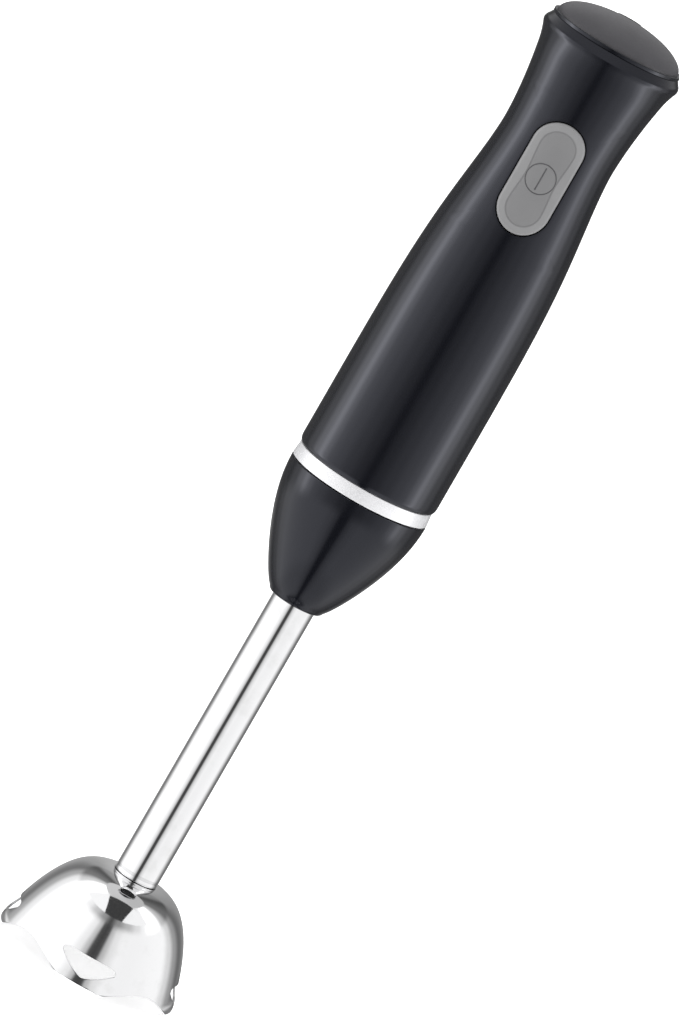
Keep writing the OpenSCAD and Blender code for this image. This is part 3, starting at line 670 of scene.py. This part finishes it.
class PowerButton(bpy.types.Operator):
    """Round-ended power button that follows the handle's waist"""

    bl_idname = "blender_part.power_button"
    bl_label = "Power Button"

    def execute(self, context):
        """Nested capsules from the outline in to a line. Each point lies 0.35 mm outside the handle's side,
        less a quarter round at the edge, and the outline is carried back as a skirt."""
        sizes = context.scene.blender_handle
        width, length = sizes.button_width / MM, sizes.button_length / MM
        low, high = mm_box("power_button")
        mid = (low[2] + high[2]) / 2
        half = (length - width) / 2
        n_arc, n_side = 48, 48
        turn = np.linspace(0, np.pi, n_arc, endpoint=False)
        run = np.linspace(half, -half, n_side, endpoint=False)
        cx = np.zeros(2 * (n_arc + n_side))
        nx = np.concatenate([np.cos(turn), np.full(n_side, -1.0), -np.cos(turn), np.ones(n_side)])
        nz = np.concatenate([np.sin(turn), np.zeros(n_side), -np.sin(turn), np.zeros(n_side)])
        cz = np.concatenate([np.full(n_arc, half), run, np.full(n_arc, -half), -run])
        edge = 0.9
        inner = np.linspace(0, 1, 34)[:-1] * (width / 2 - edge)
        q = np.linspace(0, np.pi / 2, 8)
        out = np.concatenate([inner, width / 2 - edge + edge * np.sin(q)])
        drop = np.concatenate([0 * inner, edge * 0.75 * (1 - np.cos(q))])
        x = cx + out[:, None] * nx
        z = mid + cz + out[:, None] * nz
        r = handle_side(z, sizes.radius / MM, sizes.waist / MM) + 0.35
        y = -np.sqrt(np.maximum(r ** 2 - x ** 2, 1)) + drop[:, None]
        skirt_y = np.array([0.35, 0.7, 1.0])[:, None] * (-12.95 - y[-1]) + y[-1]
        x = np.vstack([x, np.repeat(x[-1:], 3, axis=0)])
        z = np.vstack([z, np.repeat(z[-1:], 3, axis=0)])
        y = np.vstack([y, skirt_y])
        points = np.stack([x, y, z], axis=2).reshape(-1, 3)
        index = np.arange(len(points)).reshape(x.shape)
        faces = [ring_faces(index[i], index[i + 1]) for i in range(len(index) - 1)]
        piece = mesh_piece("button_skin", points, faces)
        tidy(piece)
        thicken(piece, 1.4, 0.0)
        material = button_finish(sizes.button_colour, mid, width, length)
        finish_piece(piece, "button", material, "button_grey", "power_button")
        return {"FINISHED"}


class Collar(bpy.types.Operator):
    """Dark bell-shaped collar at the top of the stick"""

    bl_idname = "blender_part.collar"
    bl_label = "Collar"

    def execute(self, context):
        """Radius is 10.1 plus 16 times the 0.63th power of the sine of a quarter turn times the 1.29th
        power of the height, turned about Z with a wall of 2.2 mm."""
        lo, hi = COLLAR_LO, COLLAR_HI
        t = np.linspace(0.02, 1, 60)
        r = 10.1 + 16.0 * np.sin(np.pi / 2 * t ** 1.29) ** 0.63
        z = lo + 0.9 + (hi - lo - 0.9) * t
        foot = np.array([[8.05, 0.35], [8.4, 0.05], [8.9, 0], [9.6, 0.12], [10.15, 0.55], [10.5, 1.2]])
        foot = foot + [0, lo]
        keep = z > lo + 1.9
        top = np.array([[26.1, hi - 0.35], [26.02, hi - 0.1], [25.8, hi], [23.6, hi]])
        inner = np.stack([r[::-1][4:40] - 2.3, z[::-1][4:40]], axis=1)
        side = np.stack([r[keep][:-1], z[keep][:-1]], axis=1)
        outline = np.vstack([foot, side, top, inner, [[8.05, lo + 9.0]]])
        points, faces = sweep_round(outline, 192)
        piece = mesh_piece("collar_skin", points, faces)
        tidy(piece)
        # the collar takes the dimmed copy of the gloss black: painted shade
        finish_piece(piece, "stick", finish_of("gloss_collar_shaded"), "gloss_black", "collar")
        return {"FINISHED"}


class StickTube(bpy.types.Operator):
    """Polished tube of the stick, with its swaged foot"""

    bl_idname = "blender_part.stick_tube"
    bl_label = "Stick Tube"

    def execute(self, context):
        """A closed outline turned about Z: the wall, and a shallow rolled line above the foot."""
        r = context.scene.blender_stick.tube_radius / MM
        z = np.linspace(BELL_TOP + 3.2, TUBE_TOP, 60)
        line = np.array([[-0.12, 0.02], [0, 0.3], [0, 1.3], [-0.1, 1.5], [-0.1, 1.7], [0, 1.95]])
        line = line + [r, BELL_TOP]
        inside = [[r - 0.8, TUBE_TOP], [r - 0.8, BELL_TOP + 0.02]]
        outline = np.vstack([line, np.stack([np.full(60, r), z], axis=1), inside])
        points, faces = sweep_round(outline, 128)
        piece = mesh_piece("tube_skin", points, faces)
        tidy(piece)
        finish_piece(piece, "stick", finish_of("polished_steel"), "polished_steel", "shaft_tube")
        return {"FINISHED"}


class BladeGuard(bpy.types.Operator):
    """Polished dome with four lobes, a slot in each lobe and two vents"""

    bl_idname = "blender_part.blade_guard"
    bl_label = "Blade Guard"

    def execute(self, context):
        """Along the outline, radius grows with a power of a sine and height falls with a power of a cosine,
        from the neck to a rim that rises by a squared sine between four lobes."""
        sizes = context.scene.blender_stick
        neck = sizes.tube_radius / MM
        big, rise = sizes.guard_radius / MM, sizes.rim_rise / MM
        spread = big + DOME_FLARE - neck

        def dome_r(a):
            return neck + spread * np.sin(a) ** DOME_R_POWER

        def dome_z(a):
            return BELL_TOP * np.cos(a) ** DOME_Z_POWER

        a = np.radians(np.linspace(0.0, 83, 400))
        r_line = np.concatenate([dome_r(a), [big]])
        z_line = np.concatenate([dome_z(a), [-0.2]])

        def radius(z):
            return np.interp(-z, -z_line, r_line)

        def rim(u):
            return rise * np.sin(2 * u) ** 2

        rows_top = np.concatenate([np.array([0.0, 0.7, 2.0, 4.0, 6.5]), np.linspace(9.2, 58, 26)]) * np.pi / 180
        top_z = dome_z(rows_top)
        low_z = top_z[-1]
        n_low = 20

        # v from 0 to 30 walks the dome's rows, and from 30 on it runs down to the rim
        last = float(len(top_z) - 1)

        def place(u, v):
            a_dome = np.interp(v, np.arange(len(top_z)), rows_top)
            share = np.clip((v - last) / n_low, 0, 1)
            z_side = low_z + (rim(u) - low_z) * share
            z = np.where(v <= last, dome_z(a_dome), z_side)
            r = np.where(v <= last, dome_r(a_dome), radius(z))
            lobe = np.cos(2 * u) ** 6 * np.exp(-((z - 4.5) / 4.0) ** 2) * 0.35
            r = r + np.where(v > last, lobe, 0)
            return np.stack([r * np.cos(u), r * np.sin(u), z], axis=1)

        steps = np.arange(len(top_z) + n_low, dtype=float)
        us = np.linspace(0, 2 * np.pi, 240, endpoint=False)

        def slot_at(middle):
            def hole(big_u, big_v, u, v):
                turn = np.arctan2(-big_v, big_u)
                c, s = np.cos(turn), np.sin(turn)
                reach = (np.abs(c) ** 4.0 + np.abs(s) ** 4.0) ** (-1 / 4.0)
                x = SLOT_HALF * reach * c
                floor_z = SLOT_FLOOR + 4.9 * np.abs(x / SLOT_HALF) ** 1.3
                below = (SLOT_MID - floor_z) * reach * s
                z = SLOT_MID + np.where(s >= 0, 1.9 * reach * s, below)
                uu = middle + np.arcsin(x / SLOT_REACH)
                share = (low_z - z) / (low_z - rim(uu))
                return uu, last + share * n_low
            return hole

        def vent_at(middle):
            def hole(big_u, big_v, u, v):
                turn = np.arctan2(big_v, big_u)
                c, s = np.cos(turn), np.sin(turn)
                reach = (np.abs(c) ** 2.6 + np.abs(s) ** 2.6) ** (-1 / 2.6)
                x = VENT_HALF * reach * c
                y = VENT_OUT + 1.7 * reach * s - 0.35 * (1 - (x / VENT_HALF) ** 2)
                sine = ((np.hypot(x, y) - neck) / spread) ** (1 / DOME_R_POWER)
                a_at = np.arcsin(np.clip(sine, 0, 1))
                return middle + np.arctan2(x, y), np.interp(a_at, rows_top, np.arange(len(top_z)))
            return hole

        windows = []
        for k in range(4):
            windows.append((60 * k - 17, 60 * k + 17, int(last) + 1, len(steps) - 2, slot_at(k * np.pi / 2)))
        b0 = int(np.searchsorted(rows_top, math.radians(6)))
        b1 = int(np.searchsorted(rows_top, math.radians(25)))
        for k in (1, 3):
            windows.append((60 * k - 12, 60 * k + 12, b0, b1, vent_at(k * np.pi / 2)))
        points, faces = skin_with_windows(place, us, steps, windows, 7)
        faces = [block[:, ::-1] for block in faces]
        piece = mesh_piece("guard_skin", points, faces)
        thicken(piece, sizes.guard_wall / MM, 0.24)
        finish_piece(piece, "stick", finish_of("polished_steel"), "polished_steel", "blade_guard")
        return {"FINISHED"}


class InsideFinishes(bpy.types.Operator):
    """Finishes for every part that keeps its CAD shape"""

    bl_idname = "blender_part.inside_finishes"
    bl_label = "Inside Finishes"

    def execute(self, context):
        """Each node takes the finish of its material slot in the record."""
        finishes = inside_finishes()
        for key in ("gloss_black", "satin_grey", "brushed_ring", "polished_steel"):
            finishes[key] = finish_of(key)
        finishes["button_grey"] = finishes["satin_grey"]
        for part in frame["record"]["subparts"]:
            node = frame["nodes"][part["node"]]
            node.data.materials.clear()
            node.data.materials.append(finishes[part["material_slot"]])
        return {"FINISHED"}


# ---------------------------------------------------------------- stage
def ramp(tree, value, stops):
    """Level from (position, level) stops, drawn as a smooth curve between them."""
    node = add(tree, "ShaderNodeValToRGB", (), i0=value)
    node.color_ramp.interpolation = "EASE"
    marks = node.color_ramp.elements
    while len(marks) < len(stops):
        marks.new(0.5)
    for mark, (place, level) in zip(marks, stops):
        mark.position = place
        mark.color = (level / 4, level / 4, level / 4, 1)
    return math_node(tree, "MULTIPLY", node.outputs[0], 4.0)


def both_sides(half):
    """Stops over -180..180 degrees from (degrees, level) stops over 0..180."""
    left = [((180 - deg) / 360, level) for deg, level in half[::-1]]
    return left + [((180 + deg) / 360, level) for deg, level in half[1:]]


def tent_light():
    """Light of the tent by direction from the front, in degrees, and by height: dark slit in front of the
    object, soft boxes at both sides, grey behind and above, and a dimmer floor sheet near the guard."""
    material = bpy.data.materials.new("Light tent")
    material.use_nodes = True
    tree = material.node_tree
    tree.nodes.clear()
    shader = add(tree, "ShaderNodeEmission", {"Color": (1, 1, 1, 1)})
    add(tree, "ShaderNodeOutputMaterial", Surface=shader.outputs[0])
    at = add(tree, "ShaderNodeTexCoord").outputs["Object"]
    x, y, z = add(tree, "ShaderNodeSeparateXYZ", (), Vector=at).outputs
    turn = math_node(tree, "ARCTAN2", x, math_node(tree, "MULTIPLY", y, -1.0))
    share = math_node(tree, "ADD", math_node(tree, "DIVIDE", turn, 2 * math.pi), 0.5)
    low = ramp(tree, share, both_sides([
        (0, 0.06), (5, 0.08), (10, 0.6), (18, 0.95), (30, 1.15), (95, 1.25), (108, 0.9), (120, 0.42),
        (134, 0.18), (160, 0.35), (180, 0.45)]))
    upper = ramp(tree, share, both_sides([
        (0, 0.08), (13, 0.32), (30, 0.6), (48, 0.95), (60, 1.2), (70, 1.9), (79, 3.1), (88, 1.9),
        (103, 0.7), (122, 0.2), (150, 0.1), (165, 0.3), (180, 0.4)]))
    level = mix_level(tree, remap(tree, z, 0.12, 0.15, 0.0, 1.0), low, upper)
    square = math_node(tree, "ADD", math_node(tree, "MULTIPLY", x, x), math_node(tree, "MULTIPLY", y, y))
    reach = math_node(tree, "POWER", square, 0.5)
    level = mix_level(tree, remap(tree, z, TENT_TOP - 0.005, TENT_TOP - 0.04, 0.0, 1.0), None, level)
    near = math_node(tree, "MULTIPLY", remap(tree, reach, 0.1, 0.148, 0.8, 1.0),
                     remap(tree, reach, 0.04, 0.06, 0.25, 1.0))
    off_floor = remap(tree, z, 0.003, 0.02, 0.0, 1.0)
    level = math_node(tree, "MULTIPLY", level, math_node(tree, "MAXIMUM", near, off_floor))
    level = math_node(tree, "MULTIPLY", level, remap(tree, turn, -1.0, 1.0, 1.14, 0.92))
    tree.links.new(level, shader.inputs["Strength"])
    return material


def mix_level(tree, factor, a, b):
    """Level a, or the roof's own level, where factor is 0, and level b where it is 1."""
    node = add(tree, "ShaderNodeMix", {"data_type": "FLOAT", 2: ROOF}, i0=factor)
    if a is not None:
        tree.links.new(a, node.inputs[2])
    tree.links.new(b, node.inputs[3])
    return node.outputs[0]


def glow(name, strength):
    """An even emitting finish that shows from underneath and is clear from above."""
    material = bpy.data.materials.new(name)
    material.use_nodes = True
    tree = material.node_tree
    tree.nodes.clear()
    shader = add(tree, "ShaderNodeEmission", {"Color": (1, 1, 1, 1), "Strength": strength})
    clear = add(tree, "ShaderNodeBsdfTransparent")
    side = add(tree, "ShaderNodeNewGeometry")
    mix = tree.nodes.new("ShaderNodeMixShader")
    tree.links.new(side.outputs["Backfacing"], mix.inputs[0])
    tree.links.new(clear.outputs[0], mix.inputs[1])
    tree.links.new(shader.outputs[0], mix.inputs[2])
    add(tree, "ShaderNodeOutputMaterial", Surface=mix.outputs[0])
    return material


def gloss_only(piece, material):
    """Sets up a stage piece that is seen only in gloss."""
    piece.data.materials.append(material)
    piece.visible_camera = False
    piece.visible_shadow = False
    piece.visible_diffuse = False


def card(name, x0, x1, y0, strength):
    """A level glowing card, in metres, over the front of the guard."""
    corners = np.array([[x0, y0, CARD_Z], [x1, y0, CARD_Z], [x1, CARD_BACK, CARD_Z], [x0, CARD_BACK, CARD_Z]])
    piece = mesh_piece(name, corners / MM, [np.array([[0, 1, 2, 3]])], False)
    gloss_only(piece, glow(name, strength))


class Stage(bpy.types.Operator):
    """Pale floor, soft studio light and the camera"""

    bl_idname = "blender_part.stage"
    bl_label = "Stage"

    def execute(self, context):
        """The camera stands 3.74 m away, 10.4 degrees up and a little to the left, and leans 30 degrees."""
        scene = context.scene
        scene.view_settings.view_transform = "Standard"
        scene.view_settings.look = "None"
        floor = mesh_piece("floor", np.array([[-9, -9, 0], [9, -9, 0], [9, 9, 0], [-9, 9, 0]]) / MM,
                           [np.array([[0, 1, 2, 3]])], False)
        white, tree, shader, _ = new_finish("Matt white sweep", "#f4f4f4", roughness=0.9)
        shader.inputs["Specular IOR Level"].default_value = 0.0
        shader.inputs["Emission Color"].default_value = (1, 1, 1, 1)
        shader.inputs["Emission Strength"].default_value = 0.62
        floor.data.materials.append(white)

        # a light tent round the object: a floor sheet, an upright wall and a flat roof
        turn = np.linspace(0, 2 * np.pi, 96, endpoint=False)
        rows = [(r, 0.002) for r in (0.0345, 0.045, 0.06, 0.1, TENT_R)]
        rows += [(TENT_R, h) for h in (0.12, 0.3, TENT_TOP)] + [(0.07, TENT_TOP), (0.002, TENT_TOP)]
        rings = [np.stack([r * np.cos(turn), r * np.sin(turn), h + 0 * turn], axis=1) for r, h in rows]
        points = np.vstack(rings)
        index = np.arange(len(points)).reshape(len(rows), -1)
        faces = [ring_faces(index[i], index[i + 1]) for i in range(len(rows) - 1)] + [index[-1][None]]
        gloss_only(mesh_piece("tent", points / MM, faces), tent_light())

        # a dark card between two white ones
        card("card_dark", -0.045, 0.045, -0.3, 0.05)
        card("card_left", -0.17, -0.0451, -0.16, 1.15)
        card("card_right", 0.0451, 0.17, -0.16, 1.1)

        world = bpy.data.worlds.new("Studio")
        scene.world = world
        world.use_nodes = True
        tree = world.node_tree
        tree.nodes.clear()
        way = add(tree, "ShaderNodeTexCoord").outputs["Generated"]
        up = add(tree, "ShaderNodeSeparateXYZ", (), Vector=way).outputs[2]
        sky = add(tree, "ShaderNodeBackground", {"Color": (1, 1, 1, 1)},
                  Strength=remap(tree, up, 0.0, 0.9, 0.7, 1.5))
        add(tree, "ShaderNodeOutputWorld", Surface=sky.outputs[0])

        az, el, roll = CAMERA_AZ, CAMERA_EL, CAMERA_ROLL
        to_camera = np.array([math.sin(az) * math.cos(el), -math.cos(az) * math.cos(el), math.sin(el)])
        right0 = np.array([math.cos(az), math.sin(az), 0.0])
        up0 = np.cross(to_camera, right0)
        right = math.cos(roll) * right0 + math.sin(roll) * up0
        up_way = math.cos(roll) * up0 - math.sin(roll) * right0
        camera = bpy.data.objects.new("camera", bpy.data.cameras.new("camera"))
        scene.collection.objects.link(camera)
        place = np.array(CAMERA_LOOK) + to_camera * CAMERA_AWAY
        axes = [[right[i], up_way[i], to_camera[i], place[i]] for i in range(3)]
        camera.matrix_world = Matrix(axes + [[0, 0, 0, 1]])
        camera.data.sensor_width = 36
        camera.data.lens = CAMERA_LENS
        camera.data.clip_end = 50
        scene.camera = camera
        return {"FINISHED"}


class BlenderPanel(bpy.types.Panel):
    """Lists the blender's sizes and pieces"""

    bl_idname = "VIEW3D_PT_immersion_blender"
    bl_label = "Immersion Blender"
    bl_space_type = "VIEW_3D"
    bl_region_type = "UI"
    bl_category = "Blender"

    def draw(self, context):
        for group in (context.scene.blender_handle, context.scene.blender_stick):
            for name in group.__annotations__:
                self.layout.prop(group, name)
        for piece in PIECES:
            self.layout.operator(piece.bl_idname)


PIECES = (InsideFinishes, HandleShell, TopCap, TrimRing, PowerButton, Collar, StickTube, BladeGuard, Stage)
CLASSES = (HandleSizes, StickSizes, *PIECES, BlenderPanel)


def register():
    for cls in CLASSES:
        bpy.utils.register_class(cls)
    bpy.types.Scene.blender_handle = bpy.props.PointerProperty(type=HandleSizes)
    bpy.types.Scene.blender_stick = bpy.props.PointerProperty(type=StickSizes)


def unregister():
    del bpy.types.Scene.blender_stick
    del bpy.types.Scene.blender_handle
    for cls in reversed(CLASSES):
        bpy.utils.unregister_class(cls)


def main():
    register()
    for piece in PIECES:
        group, name = piece.bl_idname.split(".")
        getattr(getattr(bpy.ops, group), name)()


if __name__ == "__main__":
    main()
